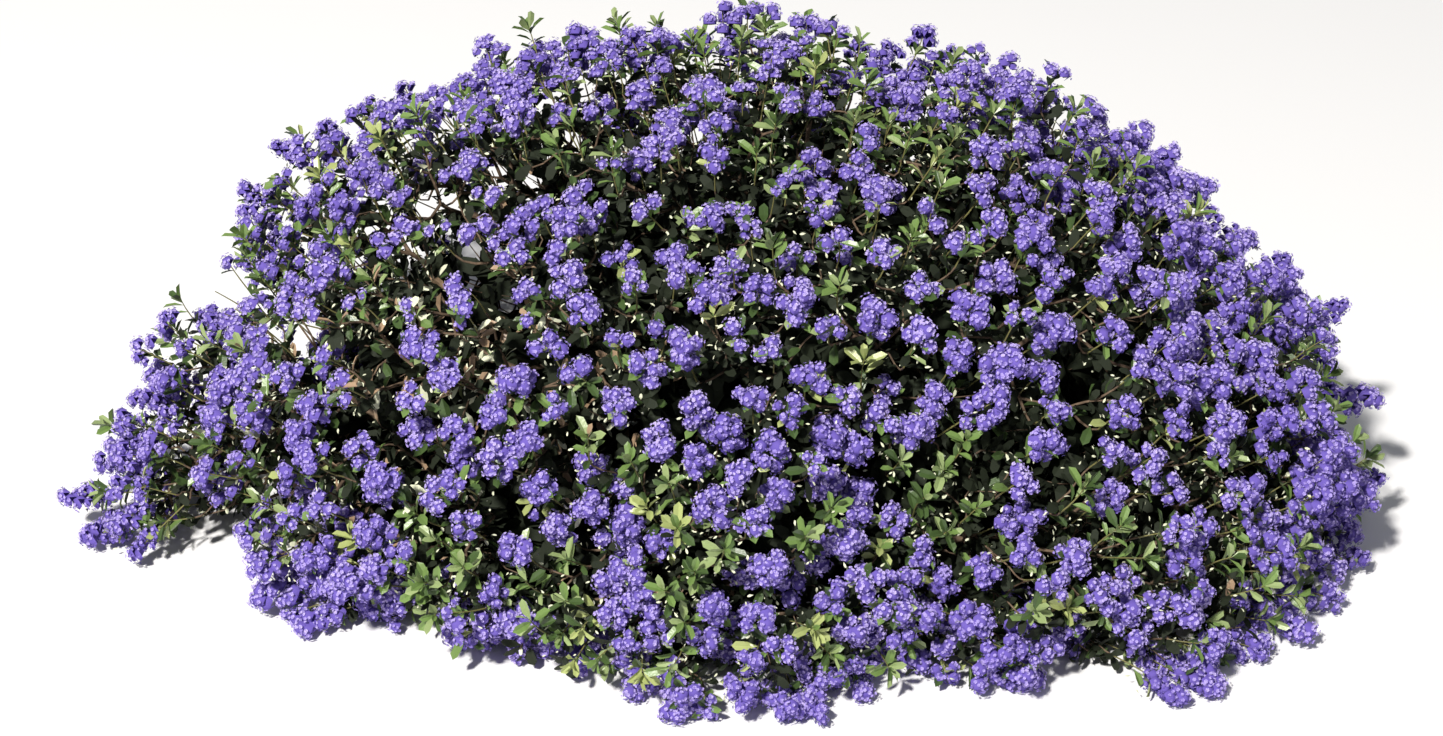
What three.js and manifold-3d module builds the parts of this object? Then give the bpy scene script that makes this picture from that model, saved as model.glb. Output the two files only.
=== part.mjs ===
// California lilac (Ceanothus): a low, wide evergreen mound in full bloom.
// A short stem stands on the ground, one tapering bough runs from it to each mass of
// foliage, and each mass is a twig system with leaves and rounded blossom heads fused on.
// Millimetres, +Z up. The origin is the middle of the flat cut under the stem.
import * as THREE from "three";
import { mergeVertices } from "three/addons/utils/BufferGeometryUtils.js";
import Module from "manifold-3d";

const wasm = await Module();
wasm.setup();

// ---------------------------------------------------------------- driving dimensions
const CROWN_HEIGHT = 458; // ground to the top of the mound
const REACH = [ // stem to the crown's edge at ground level, every 22.5 degrees from +X towards +Y
  635, 570, 530, 490, 490, 505, 520, 550, 605, 565, 475, 415, 410, 395, 525, 620,
];
const ROUNDNESS = 2.15; // 2 is an ellipse in section, and more is fuller at the shoulder
const SWELLS = [ // where the crown stands out of that dome or falls short of it, in degrees and shares
  { name: "low left arm", azimuth: 190, elevation: 5, wide: 8, high: 7, share: 0.17 },
  { name: "back of the left arm", azimuth: 176, elevation: 14, wide: 8, high: 7, share: 0.07 },
  { name: "gap behind the left arm", azimuth: 165, elevation: 8, wide: 8, high: 10, share: -0.16 },
  { name: "gap before the left arm", azimuth: 200, elevation: -2, wide: 6, high: 9, share: -0.13 },
  { name: "raised left shoulder", azimuth: 152, elevation: 27, wide: 18, high: 13, share: 0.11 },
  { name: "flat right shoulder", azimuth: 25, elevation: 33, wide: 20, high: 14, share: -0.03 },
];

const STEM = { height: 92, neckRadius: 34, rootRadius: 50, topRadius: 19, sides: 14 };
const STAGGER = 6; // neighbouring boughs leave the stem this much above and below their tier
const BOUGH_START = 14; // from the stem's axis, well inside it
const BOUGH_SIDES = 6;
const BOUGH_STEPS = 4;
const TIERS = [ // the masses, tier by tier, and the boughs that carry them
  { name: "low", count: 10, first: 8, elevation: 17, root: 8, tip: 5, joins: 40, arch: 14 },
  { name: "high", count: 5, first: 8, elevation: 50, root: 8, tip: 4.8, joins: 70, arch: 10 },
  { name: "top", count: 1, first: 0, elevation: 90, root: 9, tip: 5, joins: 88, arch: 0 },
];
const WANDER = { azimuth: 5, elevation: 3.5 }; // how unevenly the masses are set, in degrees
const OPEN_MASSES = ["low_5", "low_6", "high_3"]; // the thin left side, with no core hidden in it

// These are shares of the way from the origin to the crown's surface.
const BOUGH_END = 0.42;
const SPACE = { from: 0.46, to: 1.05 };
const HUB = 0.62;
const CORE = { from: 0.56, to: 0.87, lumps: 0.05, detail: 5, aboveGround: 12, fromWalls: 6 };
const CORE_SHOULDER = { drop: 0.15, wide: 36 }; // how it falls away towards the walls

const SPRAYS = 188; // spread over the crown, besides each mass's leading one
const SKIRT = 1.2; // above 1 puts more of them low down
const BLOOM_SHARE = 0.7; // of the sprays, those that end in blossom
const HEAD = { radius: 31, long: 1.25, lumps: 0.16 };
const LEAF = { length: 78, width: 33, thick: 5 };
const TWIG_ARCH = 0.07; // of its length, in the open masses; it is straight where a core hides it
const WAY_SHARE = 0.45; // how much a twig shortens its way back to the bough as it picks where to fork
const TWIG_TIP_RADIUS = 2;
const TWIG_GROWTH = 2.4; // a twig's radius to this power is the sum of its branches'
const CLEAR = 0.3; // between solids
const GROUND_CLEAR = 3; // between the ground and the lowest spray
const SLIVERS = [1.5, 1.2, 0.9, 0.6]; // edges shorter than the first that works are closed up
const SEED = 20260;

const rad = THREE.MathUtils.degToRad;
const vec = (x, y, z) => new THREE.Vector3(x, y, z);

// ---------------------------------------------------------------- a seeded random number
function seeded(seed) {
  let state = seed >>> 0;
  return () => {
    state = (state + 0x6d2b79f5) >>> 0;
    let t = state;
    t = Math.imul(t ^ (t >>> 15), t | 1);
    t ^= t + Math.imul(t ^ (t >>> 7), t | 61);
    return ((t ^ (t >>> 14)) >>> 0) / 4294967296;
  };
}

// ---------------------------------------------------------------- the crown's outline
// A smooth closed curve through REACH, at an azimuth in degrees.
function reachAt(azimuth) {
  const n = REACH.length;
  const t = ((((azimuth % 360) + 360) % 360) / 360) * n;
  const i = Math.floor(t);
  const f = t - i;
  const [a, b, c, d] = [-1, 0, 1, 2].map((k) => REACH[(i + k + n) % n]);
  const slope = c - a;
  const square = 2 * a - 5 * b + 4 * c - d;
  const cube = 3 * b - a - 3 * c + d;
  return 0.5 * (2 * b + slope * f + square * f ** 2 + cube * f ** 3);
}

// The distance from the origin to the crown's surface along a direction.
function crownRadius(direction) {
  const flat = Math.hypot(direction.x, direction.y);
  const length = direction.length();
  const azimuth = THREE.MathUtils.radToDeg(Math.atan2(direction.y, direction.x));
  const elevation = THREE.MathUtils.radToDeg(Math.atan2(direction.z, flat));
  const across = flat / length / reachAt(azimuth);
  const up = Math.abs(direction.z) / length / CROWN_HEIGHT;
  let radius = (across ** ROUNDNESS + up ** ROUNDNESS) ** (-1 / ROUNDNESS);
  for (const s of SWELLS) {
    const turn = ((azimuth - s.azimuth + 540) % 360) - 180;
    const side = (turn * Math.cos(rad(elevation))) / s.wide;
    const rise = (elevation - s.elevation) / s.high;
    radius *= 1 + s.share * Math.exp(-side * side - rise * rise);
  }
  return radius;
}

// How far out a point lies: 0 at the origin and 1 on the crown's surface.
const depth = (point) => point.length() / crownRadius(point);
const atDepth = (direction, share) => direction.clone().setLength(crownRadius(direction) * share);

// ---------------------------------------------------------------- each mass's space
// Directions are spread over a unit dome and then stretched to the mound's proportions. Two
// masses part on the plane through the origin midway between their directions on that dome.
const STRETCH = vec(600, 430, 450);
const MEAN_STRETCH = 500;

function domeDirection(azimuth, elevation) {
  return vec(
    Math.cos(rad(azimuth)) * Math.cos(rad(elevation)),
    Math.sin(rad(azimuth)) * Math.cos(rad(elevation)),
    Math.sin(rad(elevation)),
  );
}

const toReal = (dome) => dome.clone().multiply(STRETCH).divideScalar(MEAN_STRETCH);
const toDome = (point) => point.clone().divide(STRETCH).multiplyScalar(MEAN_STRETCH);

const random = seeded(SEED);
const masses = TIERS.flatMap((tier) =>
  Array.from({ length: tier.count }, (_, i) => {
    const azimuth = tier.first + (360 / tier.count) * i + WANDER.azimuth * (2 * random() - 1);
    const dome = domeDirection(azimuth, tier.elevation + WANDER.elevation * (2 * random() - 1));
    const name = tier.count > 1 ? `${tier.name}_${i + 1}` : tier.name;
    const open = OPEN_MASSES.includes(name);
    const joins = tier.joins + (i % 2 ? STAGGER : -STAGGER);
    return { name, tier, azimuth, dome, open, joins, direction: toReal(dome).normalize() };
  }),
);

for (const mass of masses) {
  mass.walls = masses
    .filter((other) => other !== mass)
    .map((other) => mass.dome.clone().sub(other.dome).divide(STRETCH).normalize());
}

// The distance from a point to the nearest wall of a mass's space, negative outside.
const wallDistance = (mass, point) => Math.min(...mass.walls.map((wall) => wall.dot(point)));

function inSpace(mass, point) {
  return (
    point.z >= GROUND_CLEAR &&
    wallDistance(mass, point) >= CLEAR &&
    depth(point) >= SPACE.from &&
    depth(point) <= SPACE.to
  );
}

// ---------------------------------------------------------------- small closed solids
function closedMesh(points, triangles) {
  const geometry = new THREE.BufferGeometry();
  const flat = points.flatMap((p) => [p.x, p.y, p.z]);
  geometry.setAttribute("position", new THREE.Float32BufferAttribute(flat, 3));
  geometry.setIndex(triangles.flat());
  return geometry;
}

function toSolid(geometry) {
  const bare = geometry.clone();
  bare.deleteAttribute("normal");
  bare.deleteAttribute("uv");
  const merged = mergeVertices(bare, 1e-3);
  return new wasm.Manifold(
    new wasm.Mesh({
      numProp: 3,
      vertProperties: new Float32Array(merged.attributes.position.array),
      triVerts: new Uint32Array(merged.index.array),
    }),
  );
}

function toGeometry(solid) {
  const mesh = solid.getMesh();
  const points = new Float32Array(mesh.vertProperties);
  const geometry = new THREE.BufferGeometry();
  geometry.setAttribute("position", new THREE.BufferAttribute(points, 3));
  geometry.setIndex(new THREE.BufferAttribute(new Uint32Array(mesh.triVerts), 1));
  return geometry;
}

// The largest body alone: loose scraps are dropped, and sealed hollows filled.
function oneBody(solid) {
  const bodies = toSolid(toGeometry(solid)).decompose();
  return bodies.reduce((a, b) => (b.volume() > a.volume() ? b : a));
}

// Whether a solid meets itself along an edge, so that the edge has more than its two faces.
function meetsItself(solid) {
  const corners = mergeVertices(toGeometry(solid), 1e-3).index.array;
  const faces = new Map();
  for (let i = 0; i < corners.length; i++) {
    const next = i % 3 === 2 ? i - 2 : i + 1;
    const edge = [corners[i], corners[next]].sort((a, b) => a - b).join();
    faces.set(edge, (faces.get(edge) || 0) + 1);
  }
  return [...faces.values()].some((count) => count !== 2);
}

// One clean body without slivers: the closing up of short edges is eased until it is sound.
function cleanBody(solid) {
  for (const sliver of SLIVERS) {
    const body = oneBody(solid.asOriginal().simplify(sliver));
    if (!meetsItself(body)) return body;
  }
  throw new Error("a mass meets itself along an edge");
}

// Two directions square to an axis and to each other.
function squareTo(axis) {
  const helper = Math.abs(axis.z) < 0.9 ? vec(0, 0, 1) : vec(1, 0, 0);
  const side = helper.clone().cross(axis).normalize();
  return [side, axis.clone().cross(side).normalize()];
}

// A tapering limb through some points, with a flat end at each.
function limb(points, radii, sides) {
  const rings = points.map((point, i) => {
    const before = points[Math.max(i - 1, 0)];
    const after = points[Math.min(i + 1, points.length - 1)];
    const [u, v] = squareTo(after.clone().sub(before).normalize());
    return Array.from({ length: sides }, (_, k) => {
      const angle = (2 * Math.PI * k) / sides;
      return point
        .clone()
        .addScaledVector(u, Math.cos(angle) * radii[i])
        .addScaledVector(v, Math.sin(angle) * radii[i]);
    });
  });
  const triangles = [];
  const at = (ring, k) => ring * sides + (k % sides);
  for (let r = 0; r + 1 < rings.length; r++) {
    for (let k = 0; k < sides; k++) {
      triangles.push([at(r, k), at(r, k + 1), at(r + 1, k + 1)]);
      triangles.push([at(r, k), at(r + 1, k + 1), at(r + 1, k)]);
    }
  }
  const last = rings.length - 1;
  for (let k = 1; k + 1 < sides; k++) {
    triangles.push([at(0, 0), at(0, k + 1), at(0, k)], [at(last, 0), at(last, k), at(last, k + 1)]);
  }
  return closedMesh(rings.flat(), triangles);
}

// A leaf: narrow at its root, widest past the middle, bluntly pointed, and keeled beneath.
function leaf(root, along, up, length, width) {
  const side = along.clone().cross(up).normalize();
  const face = side.clone().cross(along).normalize();
  const widest = root.clone().addScaledVector(along, length * 0.6);
  const points = [
    root,
    root.clone().addScaledVector(along, length),
    widest.clone().addScaledVector(side, width / 2),
    widest.clone().addScaledVector(side, -width / 2),
    widest.clone().addScaledVector(face, -LEAF.thick),
  ];
  return closedMesh(points, [
    [0, 2, 1], [0, 1, 3],
    [0, 3, 4], [0, 4, 2], [1, 4, 3], [1, 2, 4],
  ]);
}

// A ball of 20 faces, or more with detail, each corner shared by its faces.
function ballGeometry(detail) {
  const ball = new THREE.IcosahedronGeometry(1, detail);
  return mergeVertices(ball.deleteAttribute("normal").deleteAttribute("uv"));
}

// A blossom head: a lumpy ball, a little longer than wide.
function head(centre, axis, radius, random) {
  const ball = ballGeometry(0);
  const turn = new THREE.Quaternion().setFromUnitVectors(vec(0, 0, 1), axis);
  const spin = new THREE.Quaternion().setFromAxisAngle(vec(0, 0, 1), random() * Math.PI);
  const position = ball.attributes.position;
  for (let i = 0; i < position.count; i++) {
    const p = vec().fromBufferAttribute(position, i).applyQuaternion(spin);
    p.multiplyScalar(radius * (1 + HEAD.lumps * (random() - 0.5)));
    p.z *= HEAD.long;
    p.applyQuaternion(turn).add(centre);
    position.setXYZ(i, p.x, p.y, p.z);
  }
  return ball;
}

function cornersOf(geometry) {
  const position = geometry.attributes.position;
  return Array.from({ length: position.count }, (_, i) => vec().fromBufferAttribute(position, i));
}

// ---------------------------------------------------------------- stem and boughs
function stemGeometry(grow) {
  const { height, rootRadius, neckRadius, topRadius } = STEM;
  const profile = [
    [0, 0], [rootRadius, 0], [rootRadius * 0.86, 9], [neckRadius * 1.04, 26],
    [neckRadius, 50], [neckRadius * 0.78, 72], [topRadius, height], [0, height],
  ];
  const grown = profile.map(([r, z]) => new THREE.Vector2(r && r + grow, z && z + grow));
  return new THREE.LatheGeometry(grown, STEM.sides).rotateX(Math.PI / 2);
}

function boughPoints(mass) {
  const { tier, azimuth } = mass;
  const end = atDepth(mass.direction, BOUGH_END);
  if (tier.count === 1) {
    const start = vec(0, 0, STEM.height - 20);
    return Array.from({ length: BOUGH_STEPS + 1 }, (_, i) => start.clone().lerp(end, i / BOUGH_STEPS));
  }
  const start = domeDirection(azimuth, 0).multiplyScalar(BOUGH_START).setZ(mass.joins - 6);
  const bend = end.clone().multiplyScalar(0.5).setZ((start.z + end.z) / 2 + tier.arch);
  return new THREE.QuadraticBezierCurve3(start, bend, end).getPoints(BOUGH_STEPS);
}

function boughSolid(mass, stemClear) {
  const points = boughPoints(mass);
  const { root, tip } = mass.tier;
  const radii = points.map((_, i) => root + ((tip - root) * i) / BOUGH_STEPS);
  mass.entry = points.at(-1);
  mass.heading = points.at(-1).clone().sub(points.at(-2)).normalize();
  return toSolid(limb(points, radii, BOUGH_SIDES)).subtract(stemClear);
}

// ---------------------------------------------------------------- sprays and twigs
// Places on the crown's surface, spread by the golden angle over the dome.
function spreadSurfaces() {
  const golden = 180 * (3 - Math.sqrt(5));
  return Array.from({ length: SPRAYS }, (_, i) => {
    const elevation = THREE.MathUtils.radToDeg(Math.asin(((i + 0.5) / SPRAYS) ** SKIRT));
    return atDepth(toReal(domeDirection(golden * i, elevation)), 1);
  });
}

// The place where a mass reaches furthest from the stem.
function furthestSurface(mass) {
  let furthest = vec(0, 0, 0);
  for (let elevation = 4; elevation <= 90; elevation += 4) {
    for (let azimuth = 0; azimuth < 360; azimuth += 4) {
      const surface = atDepth(toReal(domeDirection(azimuth, elevation)), 1);
      const inside = wallDistance(mass, surface) > HEAD.radius;
      if (inside && surface.length() > furthest.length()) furthest = surface;
    }
  }
  return furthest;
}

// Each tip, from the nearest to the hub outwards, grows from the twig point that gives it the
// shortest way: the gap to bridge plus a share of the way back to the bough.

function growTwigs(mass, tips) {
  const hub = atDepth(mass.direction, HUB);
  const start = mass.entry.clone().addScaledVector(mass.heading, CLEAR);
  const nodes = [
    { point: start, parent: -1, way: 0 },
    { point: hub, parent: 0, way: start.distanceTo(hub) },
  ];
  for (const tip of [...tips].sort((a, b) => a.end.distanceTo(hub) - b.end.distanceTo(hub))) {
    let best = 1;
    let least = Infinity;
    nodes.forEach((node, i) => {
      const cost = node.point.distanceTo(tip.end) + WAY_SHARE * node.way;
      if (i > 0 && !node.isTip && cost < least) [best, least] = [i, cost];
    });
    const from = nodes[best];
    const span = from.point.distanceTo(tip.end);
    const arch = mass.open ? TWIG_ARCH * span : 0;
    const middle = from.point.clone().lerp(tip.end, 0.5).addScaledVector(mass.direction, arch);
    nodes.push({ point: middle, parent: best, way: from.way + from.point.distanceTo(middle) });
    nodes.push({ point: tip.end, parent: nodes.length - 1, way: 0, isTip: true });
  }
  for (const node of nodes) node.load = node.isTip ? TWIG_TIP_RADIUS ** TWIG_GROWTH : 0;
  for (let i = nodes.length - 1; i > 0; i--) nodes[nodes[i].parent].load += nodes[i].load;
  for (const node of nodes) {
    node.radius = Math.min(Math.max(node.load, 1) ** (1 / TWIG_GROWTH), mass.tier.tip);
  }
  return nodes;
}

// The core hidden in a dense mass: a share of a lumpy shell, with rounded shoulders.
function coreSolid(mass, random) {
  const dome = (detail, shareAt) => {
    const ball = ballGeometry(detail);
    const position = ball.attributes.position;
    for (let i = 0; i < position.count; i++) {
      const ray = toReal(vec().fromBufferAttribute(position, i));
      const p = atDepth(ray, shareAt(ray));
      position.setXYZ(i, p.x, p.y, p.z);
    }
    return toSolid(ball);
  };
  const outer = dome(CORE.detail, (ray) => {
    const aside = Math.max(wallDistance(mass, atDepth(ray, CORE.to)), 0) / CORE_SHOULDER.wide;
    return CORE.to - CORE_SHOULDER.drop * Math.exp(-aside * aside) - CORE.lumps * random();
  });
  const shell = outer.subtract(dome(1, () => CORE.from)).trimByPlane([0, 0, 1], CORE.aboveGround);
  return mass.walls.reduce((rest, wall) => rest.trimByPlane(wall.toArray(), CORE.fromWalls), shell);
}

// ---------------------------------------------------------------- a mass of foliage
// A point nearer to a wall or the ground than it needs is moved in.
function movedIn(mass, point, fromWalls, fromGround) {
  const moved = point.clone();
  for (let pass = 0; pass < 4; pass++) {
    for (const wall of mass.walls) {
      moved.addScaledVector(wall, Math.max(fromWalls - wall.dot(moved), 0));
    }
    moved.z = Math.max(moved.z, fromGround + GROUND_CLEAR);
  }
  return moved;
}

function sprayAt(mass, surface, random) {
  const blooms = random() < BLOOM_SHARE;
  const size = 0.9 + 0.24 * random();
  const out = surface.clone().sub(mass.entry).normalize().add(surface.clone().normalize()).normalize();
  const back = blooms ? HEAD.radius * HEAD.long * size : LEAF.length * 0.55;
  const fromWalls = blooms ? HEAD.radius * size * 1.2 : LEAF.width;
  const fromGround = blooms ? HEAD.radius * size * (1 + HEAD.lumps / 2) : LEAF.width / 2;
  const end = movedIn(mass, surface.clone().addScaledVector(out, -back), fromWalls, fromGround);
  return { out, blooms, size, end };
}

// The leaves under a blossom head, or the whole rosette at the end of a leafy shoot.
function sprayLeaves(spray, random) {
  const count = spray.blooms ? 0 : 4;
  const [u, v] = squareTo(spray.out);
  const first = random() * 2 * Math.PI;
  return Array.from({ length: count }, (_, k) => {
    const angle = first + (2 * Math.PI * k) / count;
    const lean = rad(spray.blooms ? 80 : 35 + 25 * random());
    const along = spray.out
      .clone()
      .multiplyScalar(Math.cos(lean))
      .addScaledVector(u, Math.sin(lean) * Math.cos(angle))
      .addScaledVector(v, Math.sin(lean) * Math.sin(angle));
    const root = spray.end.clone().addScaledVector(spray.out, -4).addScaledVector(along, -3);
    const size = spray.size * (0.85 + 0.2 * random());
    return leaf(root, along, spray.out, LEAF.length * size, LEAF.width * size);
  });
}

function massSolid(mass, surfaces, random) {
  const sprays = surfaces.map((surface) => sprayAt(mass, surface, random));
  const nodes = growTwigs(mass, sprays);

  const pieces = [];
  const add = (geometry) => {
    if (cornersOf(geometry).every((corner) => inSpace(mass, corner))) pieces.push(toSolid(geometry));
  };
  const [start, hub] = nodes;
  const trunkPath = [start.point, start.point.clone().addScaledVector(mass.heading, 8), hub.point];
  pieces.push(toSolid(limb(trunkPath, [1, 0.95, 0.8].map((share) => share * mass.tier.tip), 5)));
  for (const tip of nodes.filter((node) => node.isTip)) {
    const middle = nodes[tip.parent];
    const from = nodes[middle.parent];
    const root = { point: from.point, radius: middle.radius * 1.1 };
    const path = mass.open ? [root, middle, tip] : [root, tip];
    add(limb(path.map((at) => at.point), path.map((at) => at.radius), 3));
  }
  for (const spray of sprays) {
    if (spray.blooms) add(head(spray.end, spray.out, HEAD.radius * spray.size, random));
    sprayLeaves(spray, random).forEach(add);
  }
  if (!mass.open) pieces.push(coreSolid(mass, random));

  return cleanBody(wasm.Manifold.union(pieces));
}

// ---------------------------------------------------------------- the plant
const BARK = new THREE.MeshStandardMaterial({ color: 0x6b5040, roughness: 0.9, metalness: 0 });
const BLOOMING = new THREE.MeshStandardMaterial({ color: 0x6f63b8, roughness: 0.85, metalness: 0 });

const plant = new THREE.Group();

function addNode(name, solid, material) {
  const mesh = new THREE.Mesh(toGeometry(solid), material);
  mesh.name = name;
  plant.add(mesh);
}

const stem = toSolid(stemGeometry(0));
const stemClear = toSolid(stemGeometry(CLEAR));
addNode("stem", stem, BARK);

const surfaces = spreadSurfaces();
for (const mass of masses) {
  addNode(`bough_${mass.name}`, boughSolid(mass, stemClear), BARK);
  const own = surfaces.filter((surface) => wallDistance(mass, surface) > 0);
  own.push(furthestSurface(mass));
  addNode(`foliage_${mass.name}`, massSolid(mass, own, random), BLOOMING);
}

export default plant;
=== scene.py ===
"""California lilac in full bloom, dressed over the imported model: bark on the stem and boughs, and twigs,
leaves and umbels that grow on from the boughs' tips by the rule of the part's source, carried finer.
Lengths are millimetres until a mesh is made. Azimuths run from +X towards +Y and elevations from the
ground, both in degrees as seen from the foot of the stem."""
import math
from collections import namedtuple
from itertools import combinations

import bpy
import numpy as np
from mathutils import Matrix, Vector, noise
from numpy.linalg import norm


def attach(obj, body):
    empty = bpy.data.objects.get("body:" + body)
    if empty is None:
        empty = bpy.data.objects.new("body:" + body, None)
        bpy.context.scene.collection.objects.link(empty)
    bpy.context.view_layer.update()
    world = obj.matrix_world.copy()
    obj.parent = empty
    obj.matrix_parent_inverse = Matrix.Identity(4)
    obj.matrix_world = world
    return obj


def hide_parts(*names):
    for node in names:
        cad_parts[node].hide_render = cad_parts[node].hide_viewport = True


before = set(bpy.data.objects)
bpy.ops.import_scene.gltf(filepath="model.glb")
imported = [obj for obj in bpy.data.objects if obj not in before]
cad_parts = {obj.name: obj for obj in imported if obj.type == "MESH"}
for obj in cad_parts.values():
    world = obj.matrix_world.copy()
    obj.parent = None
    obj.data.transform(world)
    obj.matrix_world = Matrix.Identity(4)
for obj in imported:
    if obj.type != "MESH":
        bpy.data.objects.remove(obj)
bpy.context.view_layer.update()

FOLIAGE = [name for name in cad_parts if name.startswith("foliage_")]
BOUGHS = [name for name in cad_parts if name.startswith("bough_")]

# ---- the part's sizes, as in its source
Tier = namedtuple("Tier", "count first elevation root tip joins arch")

CROWN_HEIGHT = 458  # ground to the top of the mound
# Stem to the crown's edge at ground level, every 22.5 degrees from +X towards +Y.
REACH = [635, 570, 530, 490, 490, 505, 520, 550, 605, 565, 475, 415, 410, 395, 525, 620]
ROUNDNESS = 2.15  # 2 is an ellipse in section, and more is fuller at the shoulder
SWELLS = [  # where the crown stands out of that dome: azimuth, elevation, wide, high, share of its radius
    (190, 5, 8, 7, 0.17),  # low left arm
    (176, 14, 8, 7, 0.07),  # back of the left arm
    (165, 8, 8, 10, -0.16),  # gap behind the left arm
    (200, -2, 6, 9, -0.13),  # gap before the left arm
    (152, 27, 18, 13, 0.11),  # raised left shoulder
    (25, 33, 20, 14, -0.03),  # flat right shoulder
]
STRETCH = np.array([600, 430, 450]) / 500  # from directions on a round dome to the crown's
STEM = {"height": 92, "neck": 34, "root": 50, "top": 19}
TIERS = [  # the masses and the boughs that carry them: low, high and top
    Tier(count=10, first=8, elevation=17, root=8, tip=5, joins=40, arch=14),
    Tier(count=5, first=8, elevation=50, root=8, tip=4.8, joins=70, arch=10),
    Tier(count=1, first=0, elevation=90, root=9, tip=5, joins=88, arch=0),
]
WANDER = (5, 3.5)  # how unevenly the masses are set, in degrees of azimuth and elevation
STAGGER = 6  # neighbouring boughs leave the stem this much above and below their tier
BOUGH_START = 14  # from the stem's axis, well inside it
BOUGH_LOWERED = 6  # a bough starts this much under the height where it leaves the stem
TOP_BOUGH_SUNK = 20  # and the top one this much under the stem's top
BOUGH_END = 0.42  # share of the way from the origin to the crown's surface
HUB = 0.62  # such a share too: where a mass's twigs fork
CLEAR = 0.3  # between solids
SOURCE_STEPS = 4  # along a bough, the last of which gives its heading
WAY_SHARE = 0.45  # how much the way back to the bough counts as a twig picks its fork
TWIG_ARCH = 0.07  # of its length
TWIG_GROWTH = 2.4  # a twig's radius to this power is the sum of its branches'
SKIRT = 1.2  # above 1 puts more of the shoots low down
SOURCE_SEED = 20260
GOLDEN = math.radians(180 * (3 - math.sqrt(5)))
TINY = 1e-6  # keeps a division by a length from one by zero

# ---- the outer shoots
# Long flowering shoots that stand out of the outline: azimuth, elevation, share of the crown's radius
# that they reach, and rise.
SPIKES = [
    # left arm
    (189, 4, 0.98, 0), (191, 1.5, 1.0, 0), (193.2, 3.5, 0.97, -0.5), (194.6, 1.2, 1.02, -0.8),
    (183.5, 11, 0.965, 0), (186, 8, 0.93, 0), (207, 3, 0.98, 0), (212, 1.5, 0.95, 0),
    # foot in front
    (279, 1.5, 1.0, 0), (285, 1.5, 0.96, 0), (316.5, 1, 1.0, 0), (319.5, 1, 1.0, 0),
    # right end
    (1, 18.5, 1.0, 0), (355, 12, 0.99, 0), (351, 6, 0.98, 0), (344, 2, 0.97, 0),
    (331, 2, 0.98, 0), (321, 1, 0.98, 0),
    # left shoulder
    (171, 27.5, 0.98, 0), (168, 28, 1.0, 0), (160, 29, 1.0, 0),
    # behind the top
    (128, 53, 1.0, 0.5), (36, 50, 1.0, 0.5), (12, 42, 1.0, 0.5), (9, 39.5, 1.0, 0.3),
]
SPIKE_UMBELS = 13
SPIKE_SLIM = 0.62  # its head's girth, next to that of another
SPIKE_STRAY = 0.05  # how far it strays from its way,
STRAY = 0.16  # how far another outer shoot does
INNER_STRAY = 0.5  # and an inner one
FLOWERING_RISE = 0.45  # how much a shoot turns up towards the light
LEAFY_RISE = 0.7
NO_RISE_BELOW = 90  # heights: lower down none turns up,
UPPER_HEIGHT = 250  # and from here the crown counts as its upper side

MOUNDS = 150  # breadth of the swells in which the surface rises and falls
FINER_MOUNDS = MOUNDS / 2.3  # breadth of those on them
FINER_SHARE = 0.5  # their height, next to the broad ones'
DRIFTS = 60  # breadth of the drifts in which the flowering shoots stand together

# How deep the tips lie under the crown's surface, as shares of its radius.
MOUND_HEIGHT = 0.055
FOOT_DEPTH = 0.02  # all the deeper at the foot
TIP_SPREAD = (0.09, 0.06)  # of their depths, at the foot and on the upper side
SPREAD_POWER = 1.4  # above 1 puts more of them near the surface
UNDER_SHARE = 0.28  # of the flowering shoots, those that stand lower
UNDER_DEPTH = (0.04, 0.10)  # how much lower

FLOWERING_LENGTH = 24  # besides what each umbel adds
LENGTH_PER_UMBEL = 4.2
LEAFY_LENGTH = (34, 58)
INNER_LENGTH = (26, 44)

# The tables from here to DRY hold soft round patches: azimuth, elevation, wide, high and share.
BLOOM_SHARE = 0.85  # of the outer shoots, those in flower, on average
BLOOM_BY_MOUND = 0.4  # how much it grows on the mounds
BLOOM_BY_DRIFT = 0.9  # and in the drifts
BLOOM = [  # where more or fewer of the shoots are in flower
    # left arm and left end
    (172, 40, 8, 7, -0.25), (190, 14, 6, 5, -0.20), (190, 48, 40, 20, 0.12),
    (192, 8, 14, 12, 0.05), (198, 61, 9, 7, -0.35), (202, 22, 7, 5, -0.30),
    # front left
    (206, 14, 8, 6, 0.12), (210, 42, 16, 8, -0.25), (217, 20, 8, 6, 0.40),
    (227, 35, 12, 7, 0.55), (231, 27, 12, 6, 0.25), (235, 48, 12, 5, 0.20),
    (240, 16, 15, 6, -0.30), (249, 30, 6, 5, 0.30),
    # front
    (258, 7, 12, 5, -0.42), (260, 42, 6, 5, -0.30), (262, 87, 60, 7, 0.35),
    (262, 67, 24, 9, -0.20), (272, 31, 10, 6, -0.50), (283, 77, 20, 6, 0.50),
    (286, 41, 14, 6, 0.45),
    # front right
    (300, 33, 7, 7, -0.30), (302, 17, 9, 6, -0.55), (325, 28, 28, 24, 0.26),
    (325, 74, 20, 8, -0.30), (328, 50, 12, 7, 0.25), (329, 28, 7, 6, 0.40),
    (334, 64, 12, 6, 0.30), (334, 9, 7, 8, -0.20),
    # right end, then right of the back
    (346, 22, 7, 12, -0.35), (350, 36, 6, 6, -0.20), (28, 73, 25, 8, -0.55),
]
SMALL = [  # where the heads have fewer umbels
    (190, 46, 44, 22, 0.55),
    (262, 80, 90, 20, 0.30),
    (20, 62, 45, 20, 0.25),
]
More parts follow.
